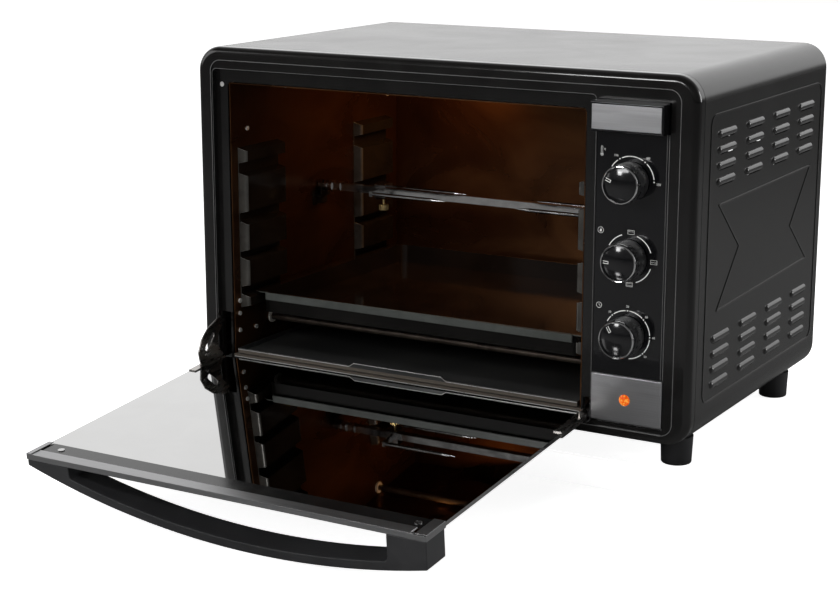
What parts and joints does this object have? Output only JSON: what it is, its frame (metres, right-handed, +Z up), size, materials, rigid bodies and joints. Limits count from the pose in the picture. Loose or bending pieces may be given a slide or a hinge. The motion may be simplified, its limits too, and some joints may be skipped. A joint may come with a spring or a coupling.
{
  "type": "rotisserie oven",
  "caption": "Countertop rotisserie oven with drop-down glass door, bowed handle, dial panel, turning spit with forks, baking tray and crumb tray.",
  "frame": {"origin": "middle of the base sheet underside, the plane the four feet are fastened to, centred under the wrap", "axes": "+Z up, -Y out of the front (the side the door opens to), +X towards the control panel"},
  "size_m": [0.575, 0.6707, 0.4151],
  "materials": {
    "black_enamel": "satin black stove enamel",
    "front_moulding": "gloss black heat-resistant moulding",
    "zinc_sheet": "zinc-coated sheet",
    "screw_steel": "bright zinc",
    "grommet_rubber": "matt",
    "cavity_sheet": "aluminised sheet, heat-tinted",
    "sill_sheet": "satin",
    "heater_sheath": "heat-darkened",
    "insulator_ceramic": "glazed",
    "motor_grey": "satin",
    "spit_chrome": "polished",
    "thumbscrew_brass": "polished",
    "fan_alloy": "satin",
    "tray_enamel": "gloss black enamel",
    "crumb_alloy": "satin",
    "mirror_glass": "part-mirrored toughened glass",
    "satin_strip": "satin",
    "handle_plastic": "fine satin texture",
    "foot_plastic": "satin",
    "panel_black": "gloss black",
    "brushed_plate": "horizontal brush",
    "lens_amber": "clear amber",
    "control_plastic": "moulded",
    "knob_black": "gloss black with knurled side",
    "spindle_steel": "turned"
  },
  "bodies": {
    "housing": {"bottom_panel": "zinc_sheet", "cavity_back": "cavity_sheet", "cavity_ceiling": "cavity_sheet", "cavity_floor": "cavity_sheet", "cavity_left_wall": "cavity_sheet", "cavity_right_wall": "cavity_sheet", "cavity_sill": "sill_sheet", "control_bracket": "zinc_sheet", "control_glass": "panel_black", "convection_motor": "motor_grey", "cord_inlet": "grommet_rubber", "fan_housing": "zinc_sheet", "feet_front": "foot_plastic", "feet_rear": "foot_plastic", "front_bezel": "front_moulding", "function_switch": "control_plastic", "heater_insulators": "insulator_ceramic", "hinge_brackets": "zinc_sheet", "hinge_pins": "screw_steel", "indicator_lens": "lens_amber", "lamp_plate": "brushed_plate", "lower_heaters": "heater_sheath", "motor_bracket": "zinc_sheet", "outer_shell": "black_enamel", "rack_guides_left": "cavity_sheet", "rack_guides_right": "cavity_sheet", "rear_panel": "zinc_sheet", "rear_screws": "screw_steel", "rotisserie_motor": "motor_grey", "spit_bracket": "spit_chrome", "thermostat": "control_plastic", "timer_unit": "control_plastic", "top_trim_plate": "brushed_plate", "trim_block": "panel_black", "upper_heaters": "heater_sheath", "wall_rivets": "screw_steel"},
    "door": {"door_glass": "mirror_glass", "door_top_strip": "satin_strip", "door_clip_left": "satin_strip", "door_clip_right": "satin_strip", "door_handle": "handle_plastic", "handle_screws": "screw_steel", "hinge_clamp_left": "satin_strip", "hinge_clamp_right": "satin_strip", "hinge_lever_left": "satin_strip", "hinge_rivets": "screw_steel"},
    "temperature_control": {"knob_temperature": "knob_black", "spindle_temperature": "spindle_steel"},
    "function_control": {"knob_function": "knob_black", "spindle_function": "spindle_steel"},
    "timer_control": {"knob_timer": "knob_black", "spindle_timer": "spindle_steel"},
    "spit": {"spit_rod": "spit_chrome", "spit_fork_left": "spit_chrome", "spit_fork_right": "spit_chrome", "thumbscrews": "thumbscrew_brass"},
    "spit_drive": {"drive_socket": "spit_chrome"},
    "fan": {"convection_fan": "fan_alloy"},
    "tray": {"baking_tray": "tray_enamel"},
    "crumb_drawer": {"crumb_tray": "crumb_alloy"}
  },
  "joints": [
    {"name": "door_hinge", "type": "hinge", "parent": "housing", "child": "door", "pos_m": [0, -0.177, 0.016], "axis": [1, 0, 0], "range_deg": [-94.9, 0]},
    {"name": "spit_turn", "type": "hinge", "parent": "housing", "child": "spit", "pos_m": [0, 0, 0.184], "axis": [1, 0, 0], "continuous": true},
    {"name": "drive_turn", "type": "hinge", "parent": "housing", "child": "spit_drive", "pos_m": [0.165, 0, 0.184], "axis": [1, 0, 0], "continuous": true},
    {"name": "fan_turn", "type": "hinge", "parent": "housing", "child": "fan", "pos_m": [0.18, 0.02, 0.267], "axis": [1, 0, 0], "continuous": true},
    {"name": "temperature_turn", "type": "hinge", "parent": "housing", "child": "temperature_control", "pos_m": [0.2175, -0.18, 0.2534], "axis": [0, 1, 0], "range_deg": [0, 240]},
    {"name": "function_turn", "type": "hinge", "parent": "housing", "child": "function_control", "pos_m": [0.2175, -0.18, 0.1789], "axis": [0, 1, 0], "range_deg": [0, 180]},
    {"name": "timer_turn", "type": "hinge", "parent": "housing", "child": "timer_control", "pos_m": [0.2175, -0.18, 0.1044], "axis": [0, 1, 0], "range_deg": [0, 280]},
    {"name": "tray_slide", "type": "slide", "parent": "housing", "child": "tray", "axis": [0, -1, 0], "range_m": [0, 0.25]},
    {"name": "crumb_slide", "type": "slide", "parent": "housing", "child": "crumb_drawer", "axis": [0, -1, 0], "range_m": [0, 0.28]}
  ],
  "couplings": [
    {"joint": "drive_turn", "follows": "spit_turn", "ratio": 1}
  ]
}
